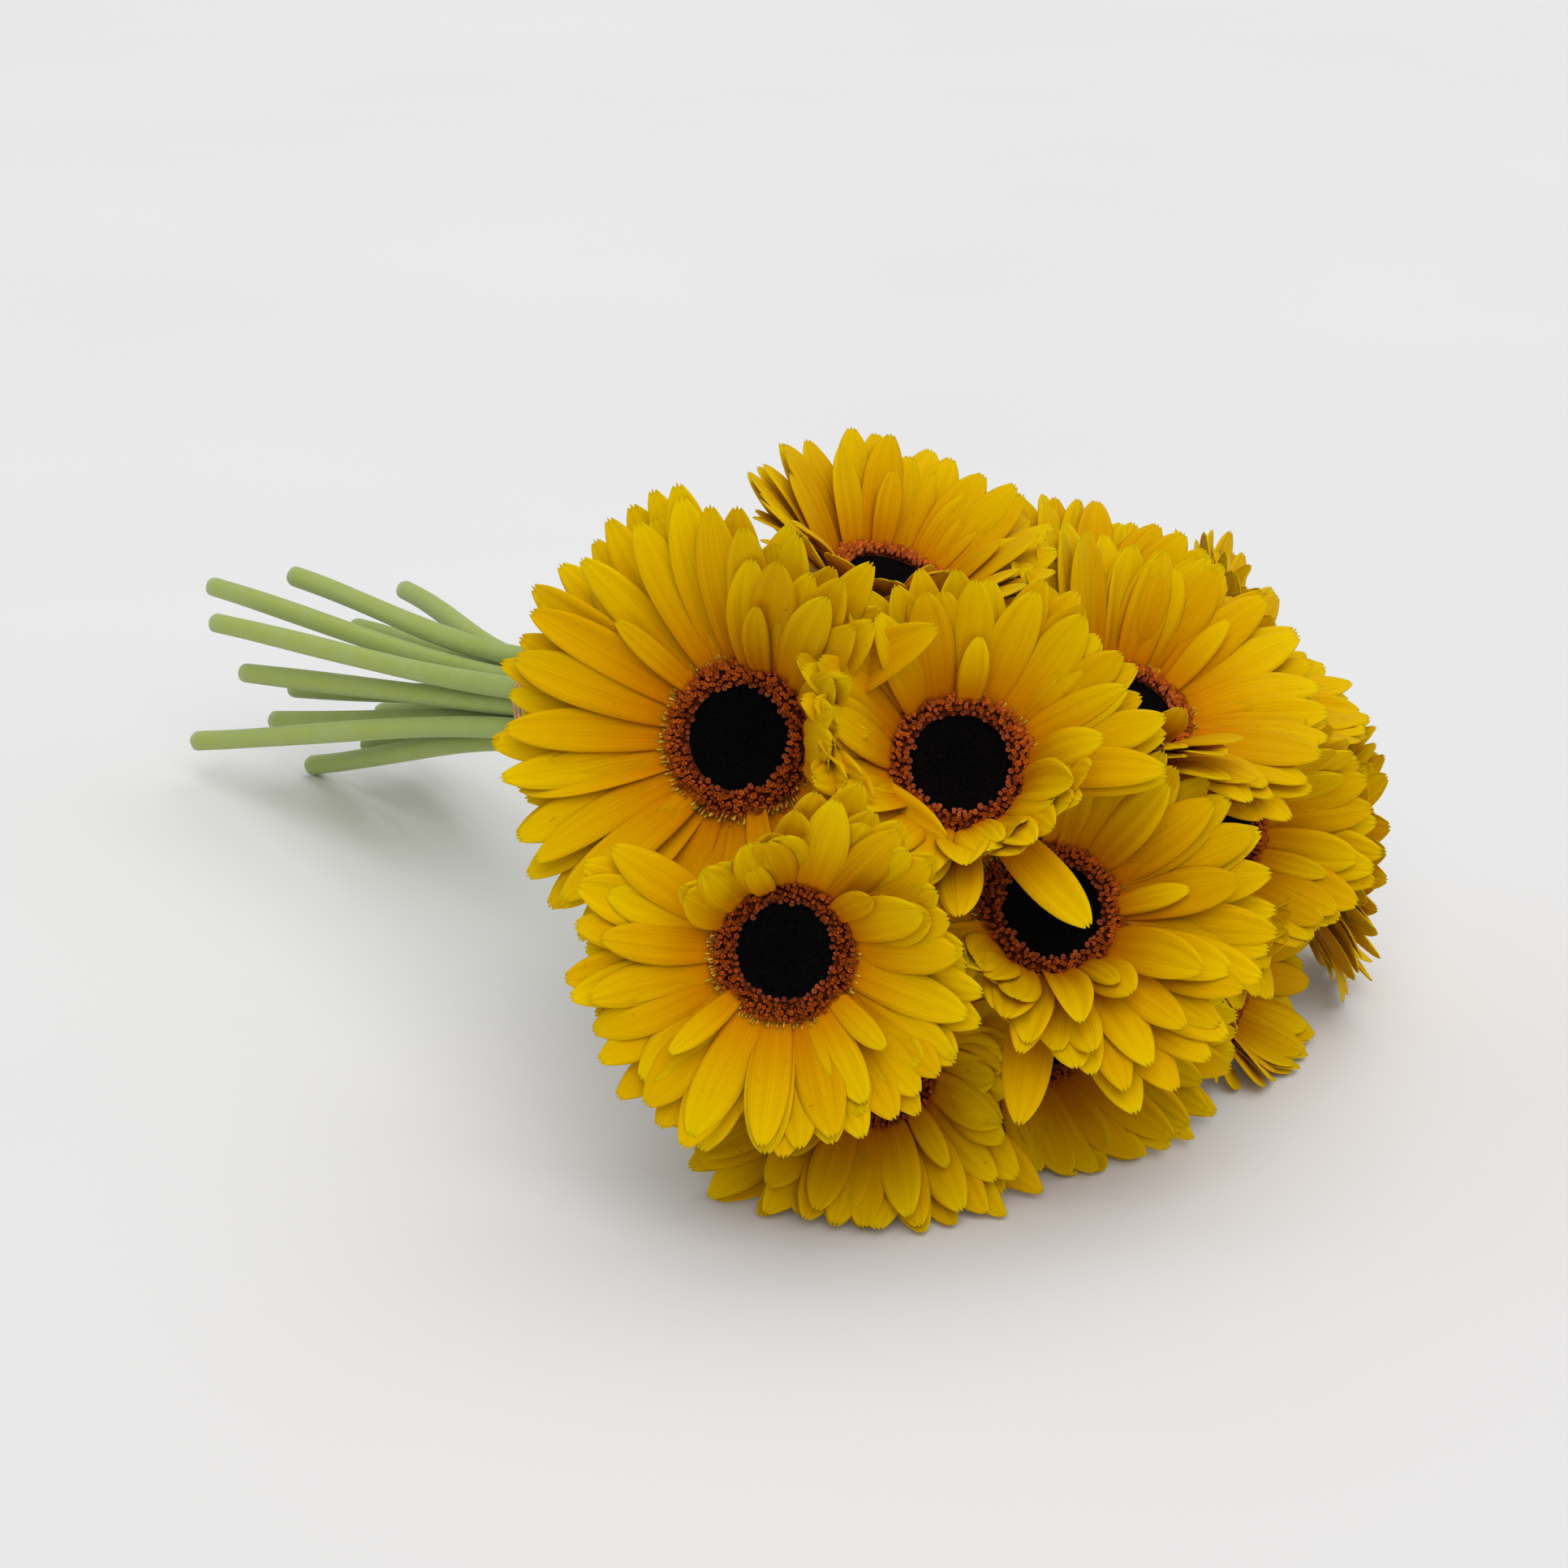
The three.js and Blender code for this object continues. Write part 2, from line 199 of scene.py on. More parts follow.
class Flower:
    """A flower's own directions, and its sizes read from the frame."""

    def __init__(self, number):
        self.number = number
        disc_points = [v.co for v in NODES["disc_" + number].data.vertices]
        disc_middle = middle_of("disc_" + number)
        self.axis = (disc_middle - middle_of("calyx_" + number)).normalized()
        self.right = Vector((0, 0, 1)).cross(self.axis).normalized()
        self.down = self.right.cross(self.axis)
        top = max((p - disc_middle).dot(self.axis) for p in disc_points)
        self.centre = disc_middle + self.axis * (top - DISC_DOME)
        self.disc = max(self.local(p)[1] for p in disc_points)
        self.hinge = self.disc + RAY_HINGE
        self.dish = [self.dish_reading(v.co) for v in NODES["rays_" + number].data.vertices]
        self.ray = max(out for _, out, _ in self.dish)
        self.random = random.Random(int(number) * 17)

    def local(self, point):
        """A point's bearing, radius and height."""
        apart = point - self.centre
        x, y, height = apart.dot(self.right), apart.dot(self.down), apart.dot(self.axis)
        return math.atan2(x, y), math.hypot(x, y), height

    def dish_reading(self, point):
        """A dish point's bearing, its distance from the foot and its slope."""
        bearing, radius, height = self.local(point)
        out, rise = radius - self.hinge, height + DISC_DEPTH
        return bearing, math.hypot(out, rise), math.atan2(rise, out)

    def matrix(self):
        """From a model's own frame, with Z along the axis, to the flower's place."""
        matrix = Matrix((self.right, -self.down, self.axis)).transposed().to_4x4()
        matrix.translation = self.centre
        return matrix

    def outward(self, bearing):
        return self.right * math.sin(bearing) + self.down * math.cos(bearing)

    def point(self, bearing, radius, height):
        return self.centre + self.outward(bearing) * radius + self.axis * height

    def lift(self, bearing):
        """How far the dish leans forward at a bearing, in radians."""
        total = weight = 0.0
        for other, out, angle in self.dish:
            if out < DISH_FOOT * self.ray:
                continue
            apart = math.remainder(other - bearing, math.tau)
            w = math.exp(-((apart / DISH_BLUR) ** 2)) * out**2
            total += w * angle
            weight += w
        return total / weight if weight else USUAL_LIFT

    def reach(self, bearing):
        """How far the dish runs out at a bearing, as a share of its longest."""
        near = []
        for other, out, _ in self.dish:
            if abs(math.remainder(other - bearing, math.tau)) < DISH_SIDE:
                near.append(out)
        return max(near, default=self.ray) / self.ray


FLOWERS = [Flower(number) for number in NUMBERS]
for flower in FLOWERS:
    flower.near = [other for other in FLOWERS if 0 < (other.centre - flower.centre).length < NEAR]
    print(flower.number, "disc", round(flower.disc / MM, 1), "ray", round(flower.ray / MM, 1))

# %% [markdown]
# ## Finishing a piece
# Every piece ends the same way: its mesh becomes an object that rides on the frame's one body, stands for
# its frame node, and takes a finish slot. Soft shapes get smooth shading, and a Subdivision Surface
# modifier where their outline is close to the eye.

# %% Helper: from a bmesh to a finished piece
def finish_piece(name, bm, materials, node, thickness=0, levels=0):
    """Makes the piece, with a thickness for open sheets and smoothing levels where they are given."""
    mesh = bpy.data.meshes.new(name)
    bm.to_mesh(mesh)
    bm.free()
    mesh.shade_smooth()
    for material in materials:
        mesh.materials.append(material)
    piece = bpy.data.objects.new(name, mesh)
    bpy.context.collection.objects.link(piece)
    if thickness:
        solidify = piece.modifiers.new("thickness", "SOLIDIFY")
        solidify.thickness = thickness
        solidify.offset = 0
    if levels:
        subdivision = piece.modifiers.new("smooth", "SUBSURF")
        subdivision.levels = levels
        subdivision.render_levels = levels
    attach(piece, "root")
    if node:
        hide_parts(node)
    return piece


def clamp(value, low, high):
    return max(low, min(high, value))


# %% [markdown]
# ## Petals
# A gerbera's petal is a ray floret: a long strap, narrow where it leaves the disc, widest past its middle,
# and blunt at the tip with three tiny teeth. Two shallow grooves run its whole length. One petal starts as
# a small flat grid, whose rows are then bent along the petal's line and whose columns are raised into ribs
# and grooves. Solidify gives it a real thickness, and a Subdivision Surface rounds it.

# %% The petal's finish
def petal_material():
    """Deep orange towards the foot, partly the petal's own deeper colour and partly painted shade where the
    petals crowd under the disc, warm yellow further out, with fine lengthwise veins and a tone of its own.
    """
    material, shader, add, join = new_material("petal_yellow")
    uv = add("ShaderNodeUVMap", uv_map="UVMap").outputs["UV"]
    along = add("ShaderNodeSeparateXYZ", {"Vector": uv}).outputs["Y"]
    tone = add("ShaderNodeAttribute", attribute_name="tone").outputs["Fac"]
    # The dark orange of the first stops is partly the petal's own colour and partly painted shade where the
    # petals overlap under the disc's edge.
    yellows_and_foot_shade = [
        (0.0, (0.44, 0.10, 0.0)),
        (0.14, (0.64, 0.25, 0.0)),
        (0.42, (0.715, 0.40, 0.0)),
        (0.90, (0.775, 0.525, 0.0)),
        (1.0, (0.62, 0.44, 0.002)),
    ]
    body = add_ramp(add, along, yellows_and_foot_shade)
    stretched = add("ShaderNodeVectorMath", {0: uv, 1: (34, 1.3, 1)}, operation="MULTIPLY").outputs["Vector"]
    shift = add("ShaderNodeMath", {0: tone, 1: 40}, operation="MULTIPLY").outputs[0]
    per_petal = add("ShaderNodeCombineXYZ", {"Z": shift}).outputs[0]
    shifted = add("ShaderNodeVectorMath", {0: stretched, 1: per_petal}, operation="ADD").outputs["Vector"]
    vein_noise = {"Vector": shifted, "Scale": 1.0, "Detail": 3.0, "Roughness": 0.6}
    veins = add("ShaderNodeTexNoise", vein_noise).outputs["Fac"]
    vein_tint = add_ramp(add, veins, [(0.3, (0.86, 0.76, 0.6)), (0.66, (1.0, 1.0, 1.0))])
    body = add_mix(add, "MULTIPLY", 0.85, body, vein_tint)
    petal_tint = add_ramp(add, tone, [(0.0, (0.93, 0.84, 0.8)), (0.5, (1, 1, 1)), (1.0, (1.03, 1.07, 1.0))])
    body = add_mix(add, "MULTIPLY", 1.0, body, petal_tint)
    place = add("ShaderNodeTexCoord").outputs["Object"]
    speck = add("ShaderNodeTexNoise", {"Vector": place, "Scale": 420.0, "Detail": 1.0}).outputs["Fac"]
    speckled = add_ramp(add, speck, [(0.76, (1, 1, 1)), (0.80, (0.60, 0.42, 0.2))])
    body = add_mix(add, "MULTIPLY", 0.5, body, speckled)
    join(body, shader.inputs["Base Color"])
    rough = add("ShaderNodeMapRange", {"Value": veins, "To Min": 0.40, "To Max": 0.58}).outputs["Result"]
    join(rough, shader.inputs["Roughness"])
    shader.inputs["Specular IOR Level"].default_value = 0.06
    shader.inputs["Specular Tint"].default_value = (1.0, 0.8, 0.05, 1)
    shader.inputs["Subsurface Weight"].default_value = 0.16
    shader.inputs["Subsurface Radius"].default_value = (0.9, 0.45, 0.01)
    shader.inputs["Subsurface Scale"].default_value = 0.002
    bump = add("ShaderNodeBump", {"Height": veins, "Strength": 0.45, "Distance": 0.0004})
    join(bump.outputs["Normal"], shader.inputs["Normal"])
    return material


PETAL = petal_material()

# %% A petal's outline and its line
COLUMNS = 6
ROWS = 11
ROW_EASE = 1.5  # rows stand closer together towards the tip
BASE_WIDTH = 0.56  # half width at the foot, as a share of the widest
WIDEST = 0.56  # how far along a petal is widest
FOOT_FULLNESS = 0.8
TIP_FULLNESS = 0.66
TIP_END = 1.02  # the outline would close just past the tip, so the tip stays blunt
CURL_START = 0.55  # the tip starts to curl this far along
TEETH = (0.0, 0.012, -0.045, 0.022, -0.045, 0.012, 0.0)
TIP_ROUNDING = 0.03
RIB_HEIGHT = 0.62 * MM
SETTLE_BEND = 4 * MM  # height above the surface where a petal starts to bend along it


def petal_width(s):
    """Half width along a petal, as a share of the widest."""
    if s < WIDEST:
        return BASE_WIDTH + (1 - BASE_WIDTH) * math.sin(s / WIDEST * math.pi / 2) ** FOOT_FULLNESS
    return max(0.0, 1 - ((s - WIDEST) / (TIP_END - WIDEST)) ** 2) ** TIP_FULLNESS


ROW_SHARES = [1 - (1 - row / ROWS) ** ROW_EASE for row in range(ROWS + 1)]


def petal_line(base, height, length, lift, arch, curl):
    """Where each row stands, as (radius, height), and the slope there. The line bends as it runs out."""
    line = [(base, height)]
    slopes = []
    for here, there in zip(ROW_SHARES, ROW_SHARES[1:]):
        s = (here + there) / 2
        slope = lift + arch * (1 - 2.2 * s) + curl * max(0.0, s - CURL_START) / (1 - CURL_START)
        slopes.append(slope)
        out, rise = line[-1]
        step = length * (there - here)
        line.append((out + step * math.cos(slope), rise + step * math.sin(slope)))
    slopes.append(slopes[-1])
    return line, slopes


def settle(point, low):
    """Lets a point that would sink into the surface lie on it instead, in a soft bend."""
    if point.z < low + SETTLE_BEND:
        point.z = low + SETTLE_BEND * math.exp((point.z - low - SETTLE_BEND) / SETTLE_BEND)
    return point


# %% One petal
def add_petal(
    bm, flower, bearing, base, height, length, width, lift, arch, curl, cup, roll, twist, side, tone, low
):
    """Adds one petal: a grid, with its rows set along the petal's line and its columns raised into ribs."""
    made = bmesh.ops.create_grid(bm, x_segments=COLUMNS, y_segments=ROWS, size=1.0, calc_uvs=True)
    layer = bm.verts.layers.float["tone"]
    line, slopes = petal_line(base, height, length, lift, arch, curl)
    sideways = flower.right * math.cos(bearing) - flower.down * math.sin(bearing)
    for vert in made["verts"]:
        column = round((vert.co.x + 1) / 2 * COLUMNS)
        row = round((vert.co.y + 1) / 2 * ROWS)
        s, t = ROW_SHARES[row], column / COLUMNS * 2 - 1
        half = petal_width(s) * width / 2
        out, rise = line[row]
        slope = slopes[row]
        tip = s**8
        ahead = length * tip * (TEETH[column] - TIP_ROUNDING * t * t)
        out += ahead * math.cos(slope)
        rise += ahead * math.sin(slope)
        ribs = RIB_HEIGHT * math.cos(3 * math.pi * t) * min(1, 4 * s) * (1 - 0.7 * tip)
        raised = ribs + cup * half * t * t
        turn = roll + twist * s
        x = half * t * math.cos(turn) - raised * math.sin(turn) + side * length * s * s
        n = half * t * math.sin(turn) + raised * math.cos(turn)
        radius = out - n * math.sin(slope)
        vert.co = settle(flower.point(bearing, radius, rise + n * math.cos(slope)) + sideways * x, low)
        vert[layer] = tone


# %% [markdown]
# ## A head of petals
# The petals stand in layers. The outer ones are longest and lie along the frame's dish. Each layer inside
# is shorter, starts higher and leans further forward. Each petal is rolled a little about its own length,
# so that it lies with one edge over its neighbour, like tiles on a roof. Small chance differences in
# length, lean and twist keep them from looking stamped out, and a petal that has less room before the next
# head stays shorter. A petal that would lie over the disc of the next head is pushed forward until it
# clears it, or until it is as steep as a petal gets, as in a tight bunch. One petal is left out of this,
# and hangs over the head below.

# %% Which petals are pushed forward
MOST_LIFT = math.radians(64)
LEAST_LIFT = -0.5
LIFT_STEP = math.radians(4)
CRUMPLE = 0.25  # how much shorter a petal gets for each radian that it is pushed forward
RIM_COVER = 3 * MM  # how far petals may lie over the outer florets of a neighbour
VIEW_SPREAD = 0.4  # the space kept clear in front of a disc widens by this share of its height
CLEAR_HEIGHT = 60 * MM
CLEAR_DEPTH = -5 * MM
HANGING = {"02": math.radians(35)}  # where a petal hangs over the eye of the head below
HANGING_WIDTH = math.radians(6.5)
HANGING_LIFT = math.radians(24)
HANGING_LENGTH = 1.05
HANGING_LAYERS = 2


def covers_a_disc(flower, bearing, lift, length):
    """Whether a petal that leans forward by this much would lie in front of a neighbour's disc."""
    for share in (0.6, 0.8, 1.0):
        radius = flower.hinge + length * share * math.cos(lift)
        height = length * share * math.sin(lift) - DISC_DEPTH
        point = flower.point(bearing, radius, height)
        for other in flower.near:
            _, away, ahead = other.local(point)
            clear = other.disc - RIM_COVER + VIEW_SPREAD * max(0.0, ahead)
            if CLEAR_DEPTH < ahead < CLEAR_HEIGHT and away < clear:
                return True
    return False


def hangs(flower, bearing, level):
    """Whether this is the petal that hangs over the head below."""
    place = HANGING.get(flower.number)
    if place is None or level >= HANGING_LAYERS:
        return False
    return abs(math.remainder(bearing - place, math.tau)) < HANGING_WIDTH


def pushed(flower, bearing, level, lift, length):
    """A petal's lean and length, once it clears its neighbours' discs or is as steep as it gets."""
    if hangs(flower, bearing, level):
        return HANGING_LIFT, flower.ray * HANGING_LENGTH
    easy = lift
    while lift < MOST_LIFT and covers_a_disc(flower, bearing, lift, length):
        lift += LIFT_STEP
    return lift, length * (1 - CRUMPLE * (lift - easy))


# %% Layers of petals
# count, share of length, width, start inside the feet, height (mm), lean and its spread (degrees)
LAYERS = [
    (31, 1.00, 12.3, 1.5, -4.4, -4, 2.5),
    (26, 0.98, 12.1, 2.2, -3.3, 1, 3),
    (18, 0.92, 11.6, 3.0, -2.2, 6, 4),
    (4, 0.60, 7.0, 3.6, -1.2, 13, 7),
]
USUAL_RAY = 36 * MM  # longer petals leave room for more of them
LEAST_ROOM = 0.55
PRESSED_LIFT = 0.75  # from this lean on, in radians, the dish shows petals pressed forward
PRESSED_RANGE = 0.5
CHANNELLED = 0.1  # share of petals that are folded into a channel
CHANNEL = 0.3
PETAL_THICKNESS = 0.35 * MM


def layer_count(flower, count):
    return round(count * clamp(flower.ray / USUAL_RAY, 0.8, 1.25))


def make_petals(flower):
    draw = flower.random
    bm = bmesh.new()
    bm.loops.layers.uv.new("UVMap")
    bm.verts.layers.float.new("tone")
    for level, (usual_count, share, width, inset, height, lean, spread) in enumerate(LAYERS):
        start = draw.uniform(0, math.tau)
        count = layer_count(flower, usual_count)
        for i in range(count):
            bearing = start + math.tau * (i + draw.uniform(-0.26, 0.26)) / count
            room = clamp(flower.reach(bearing), LEAST_ROOM, 1)
            dish_lift = flower.lift(bearing)
            pressed = clamp((dish_lift - PRESSED_LIFT) / PRESSED_RANGE, 0, 1)
            lift = dish_lift + math.radians(lean * (1 - pressed) + draw.gauss(0, spread))
            length = flower.ray * share * room * draw.uniform(0.97, 1.06)
            channel = CHANNEL if draw.random() < CHANNELLED else 0.0
            lift, length = pushed(flower, bearing, level, clamp(lift, LEAST_LIFT, MOST_LIFT), length)
            add_petal(
                bm, flower, bearing,
                base=flower.hinge - inset * MM,
                height=height * MM,
                length=length + inset * MM,
                width=width * MM * draw.uniform(0.88, 1.08),
                lift=lift,
                arch=math.radians(draw.gauss(9, 4) * (1 - 0.8 * pressed)),
                curl=math.radians(draw.gauss(-4, 9)),
                cup=draw.gauss(0.0, 0.08) + channel,
                roll=math.radians(7 + draw.gauss(0, 3)),
                twist=draw.gauss(0, 0.12),
                side=draw.gauss(0, 0.03),
                tone=draw.random(),
                low=(0.6 + 0.5 * level) * MM,
            )
    name, node = "petals_" + flower.number, "rays_" + flower.number
    return finish_piece(name, bm, [PETAL], node, thickness=PETAL_THICKNESS, levels=1)


for flower in FLOWERS:
    make_petals(flower)
    print(flower.number, "petals", sum(layer_count(flower, layer[0]) for layer in LAYERS))

# %% [markdown]
# ## The disc
# The middle of a gerbera is hundreds of tiny florets. In the dark eye they are closed buds, packed in the
# sunflower's spiral. Round it stand rings of open florets: short tubes with squared rims, pinkish brown at
# the eye and rust orange further out. A fringe of thin olive-yellow stamens stands outside them.

# %% The disc's finishes
def eye_material():
    """A velvety near-black."""
    material, shader, add, join = new_material("eye_black")
    place = add("ShaderNodeTexCoord").outputs["Object"]
    grain = add("ShaderNodeTexNoise", {"Vector": place, "Scale": 900.0, "Detail": 2.0}).outputs["Fac"]
    velvet = add_ramp(add, grain, [(0.35, (0.0010, 0.0009, 0.0009)), (0.75, (0.0032, 0.0024, 0.0024))])
    join(velvet, shader.inputs["Base Color"])
    shader.inputs["Roughness"].default_value = 0.95
    shader.inputs["Specular IOR Level"].default_value = 0.04
    return material


def floret_material(name, foot, middle, rim, rough):
    """Colour runs up a floret from its foot to its rim, by the attribute "rise"."""
    material, shader, add, join = new_material(name)
    rise = add("ShaderNodeAttribute", attribute_name="rise").outputs["Fac"]
    tone = add("ShaderNodeAttribute", attribute_name="tone").outputs["Fac"]
    body = add_ramp(add, rise, [(0.0, foot), (0.55, middle), (1.0, rim)])
    tint = add_ramp(add, tone, [(0.0, (0.55, 0.42, 0.42)), (1.0, (1.25, 1.2, 1.15))])
    join(add_mix(add, "MULTIPLY", 1.0, body, tint), shader.inputs["Base Color"])
    shader.inputs["Roughness"].default_value = rough
    shader.inputs["Specular IOR Level"].default_value = 0.1
    return material


DISC_FINISHES = [
    eye_material(),
    floret_material("floret_pink", (0.03, 0.004, 0.001), (0.20, 0.030, 0.005), (0.48, 0.12, 0.032), 0.6),
    floret_material("floret_rust", (0.05, 0.007, 0.001), (0.30, 0.050, 0.002), (0.59, 0.14, 0.006), 0.55),
    floret_material("stamen_olive", (0.20, 0.10, 0.004), (0.44, 0.26, 0.012), (0.66, 0.46, 0.04), 0.5),
    floret_material("seat_rust", (0.09, 0.016, 0.002), (0.13, 0.024, 0.003), (0.16, 0.032, 0.004), 0.8),
]
EYE, PINK, RUST, STAMEN, SEAT = range(len(DISC_FINISHES))

# %% Small shapes, each made upright and then stood on the disc
def new_part():
    """A small bmesh with the two layers that the finishes read."""
    part = bmesh.new()
    part.verts.layers.float.new("rise")
    part.verts.layers.float.new("tone")
    return part


def stand(part, verts, bearing, radius, height, lean, finish, tone, size=1.0, spin=0.0):
    """Stands a new upright shape on the disc, leaning outwards by an angle."""
    rise_layer = part.verts.layers.float["rise"]
    tone_layer = part.verts.layers.float["tone"]
    low = min(v.co.z for v in verts)
    high = max(v.co.z for v in verts)
    for vert in verts:
        vert[rise_layer] = (vert.co.z - low) / max(high - low, 1e-9)
        vert[tone_layer] = tone
    place = (
        Matrix.Rotation(bearing, 4, "Z")
        @ Matrix.Translation((radius, 0, height))
        @ Matrix.Rotation(lean, 4, "Y")
        @ Matrix.Rotation(spin, 4, "Z")
        @ Matrix.Scale(size, 4)
    )
    bmesh.ops.transform(part, matrix=place, verts=verts)
    for face in {f for v in verts for f in v.link_faces}:
        face.material_index = finish


def add_tube_floret(part, sides, foot, rim, length):
    """An upright tube with a flared, squared rim and a hollow mouth."""
    tube = bmesh.ops.create_cone(part, cap_ends=True, segments=sides, radius1=foot, radius2=rim, depth=length)
    verts = tube["verts"]
    bmesh.ops.translate(part, verts=verts, vec=(0, 0, length / 2))
    top = max({f for v in verts for f in v.link_faces}, key=lambda f: f.calc_center_median().z)
    mouth = bmesh.ops.inset_region(part, faces=[top], thickness=rim * 0.35, depth=0)["faces"]
    bmesh.ops.translate(part, verts=list(top.verts), vec=(0, 0, -length * 0.3))
    return list(set(verts) | set(top.verts) | {v for face in mouth for v in face.verts})


def spun_part(outline, steps):
    """A closed solid of revolution about Z, from (radius, height) pairs that start and end on the axis."""
    part = new_part()
    points = [part.verts.new((radius, 0, height)) for radius, height in outline]
    edges = [part.edges.new(pair) for pair in zip(points, points[1:])]
    middle, up = (0, 0, 0), (0, 0, 1)
    bmesh.ops.spin(
        part, geom=points + edges, cent=middle, axis=up, angle=math.tau, steps=steps, use_merge=True
    )
    bmesh.ops.remove_doubles(part, verts=part.verts[:], dist=0.01 * MM)
    bmesh.ops.recalc_face_normals(part, faces=part.faces[:])
    return part


def pour(bm, part):
    """Adds a finished small bmesh to a larger one."""
    mesh = bpy.data.meshes.new("poured")
    part.to_mesh(mesh)
    part.free()
    bm.from_mesh(mesh)
    bpy.data.meshes.remove(mesh)


# %% The seat of a model disc, with the closed buds of its eye
DISC_EDGE = 16.5 * MM
GOLDEN = math.pi * (3 - math.sqrt(5))
EYE_SHARE = 0.71  # radius of the eye, as a share of the disc's edge
# radius as a share of the edge, height in millimetres
SEAT_OUTLINE = [
    (0, -4.2), (0.90, -4.2), (0.98, -2.6), (0.94, -0.5), (0.84, 0.5), (0.76, 0.5), (0.71, 0.0), (0, -0.5)
]
SEAT_STEPS = 40
BUDS = 300
BUD_RADIUS = 0.56 * MM
BUD_HEIGHT = -0.42 * MM


def seat_part(draw):
    seat = spun_part([(share * DISC_EDGE, height * MM) for share, height in SEAT_OUTLINE], SEAT_STEPS)
    tones = seat.verts.layers.float["tone"]
    for vert in seat.verts:
        vert[tones] = draw.random()
    for face in seat.faces:
        away = face.calc_center_median().xy.length / DISC_EDGE
        face.material_index = SEAT if away > EYE_SHARE else EYE
    return seat


def eye_part(draw):
    """Closed buds along the sunflower's spiral."""
    eye = new_part()
    for i in range(BUDS):
        radius = EYE_SHARE * DISC_EDGE * math.sqrt((i + 0.5) / BUDS)
        verts = bmesh.ops.create_icosphere(eye, subdivisions=1, radius=BUD_RADIUS)["verts"]
        size = draw.uniform(0.85, 1.12)
        stand(eye, verts, i * GOLDEN, radius, BUD_HEIGHT, 0, EYE, draw.random(), size, draw.random())
    return eye


# %% The rings of open florets and the fringe of stamens
FLORET_SIDES = 5
# finish, count, place as a share of the edge, height, lean, then foot radius, rim radius and length
RINGS = [
    (PINK, 48, 0.745, -0.1, -16, 0.38, 0.60, 2.4),
    (RUST, 66, 0.785, 0.2, -4, 0.34, 0.52, 2.7),
    (RUST, 72, 0.825, 0.1, 6, 0.34, 0.52, 2.8),
    (RUST, 76, 0.865, -0.1, 14, 0.34, 0.52, 2.8),
    (RUST, 80, 0.905, -0.5, 24, 0.34, 0.52, 2.8),
    (RUST, 82, 0.945, -1.1, 36, 0.34, 0.52, 2.8),
    (RUST, 84, 0.975, -1.9, 50, 0.32, 0.46, 2.6),
]
STAMENS = 170
STAMEN_LENGTH = 3.6 * MM
STAMEN_FOOT = 0.14 * MM
STAMEN_TIP = 0.26 * MM
STAMEN_HEIGHT = -1.6 * MM


def ring_part(draw, finish, count, share, height, lean, foot, rim, length):
    ring = new_part()
    for i in range(count):
        verts = add_tube_floret(ring, FLORET_SIDES, foot * MM, rim * MM, length * MM)
        bearing = math.tau * (i + draw.uniform(-0.3, 0.3)) / count
        away = DISC_EDGE * share * draw.uniform(0.98, 1.02)
        tilt = math.radians(lean + draw.gauss(0, 10))
        size = draw.uniform(0.8, 1.16)
        stand(ring, verts, bearing, away, height * MM, tilt, finish, draw.random(), size, draw.uniform(0, 6))
    return ring


def fringe_part(draw):
    fringe = new_part()
    for i in range(STAMENS):
        stamen = bmesh.ops.create_cone(
            fringe, cap_ends=True, segments=4, radius1=STAMEN_FOOT, radius2=STAMEN_TIP, depth=STAMEN_LENGTH
        )
        verts = stamen["verts"]
        bmesh.ops.translate(fringe, verts=verts, vec=(0, 0, STAMEN_LENGTH / 2))
        bearing = math.tau * (i + draw.uniform(-0.4, 0.4)) / STAMENS
        tilt = math.radians(draw.uniform(30, 64))
        away = DISC_EDGE * draw.uniform(0.93, 1.0)
        tone, size = draw.random(), draw.uniform(0.75, 1.2)
        stand(fringe, verts, bearing, away, STAMEN_HEIGHT, tilt, STAMEN, tone, size)
    return fringe


def model_disc(seed):
    draw = random.Random(seed)
    bm = new_part()
    pour(bm, seat_part(draw))
    pour(bm, eye_part(draw))
    for ring in RINGS:
        pour(bm, ring_part(draw, *ring))
    pour(bm, fringe_part(draw))
    return bm


# %% A disc on every flower
def place_model(model, flower, scale, spin):
    """A copy of a model bmesh, scaled, spun and set on a flower's own axis."""
    bm = model.copy()
    bmesh.ops.transform(bm, matrix=flower.matrix() @ Matrix.Rotation(spin, 4, "Z") @ scale, verts=bm.verts[:])
    return bm


model_discs = [model_disc(seed) for seed in (5, 9)]
for i, flower in enumerate(FLOWERS):
    model = model_discs[i % len(model_discs)]
    scale = Matrix.Scale(flower.disc / DISC_EDGE, 4)
    bm = place_model(model, flower, scale, flower.random.uniform(0, math.tau))
    name, node = "disc_florets_" + flower.number, "disc_" + flower.number
    disc = finish_piece(name, bm, DISC_FINISHES, node)
for model in model_discs:
    model.free()
print("faces in a disc:", len(disc.data.polygons))

# %% [markdown]
# ## The calyx
# Behind the petals sits a green cup of narrow pointed bracts in three overlapping rows, covered in fine
# down. The cup is spun from its outline, and each bract is a small grid shaped like a lance head, laid on
# the cup.

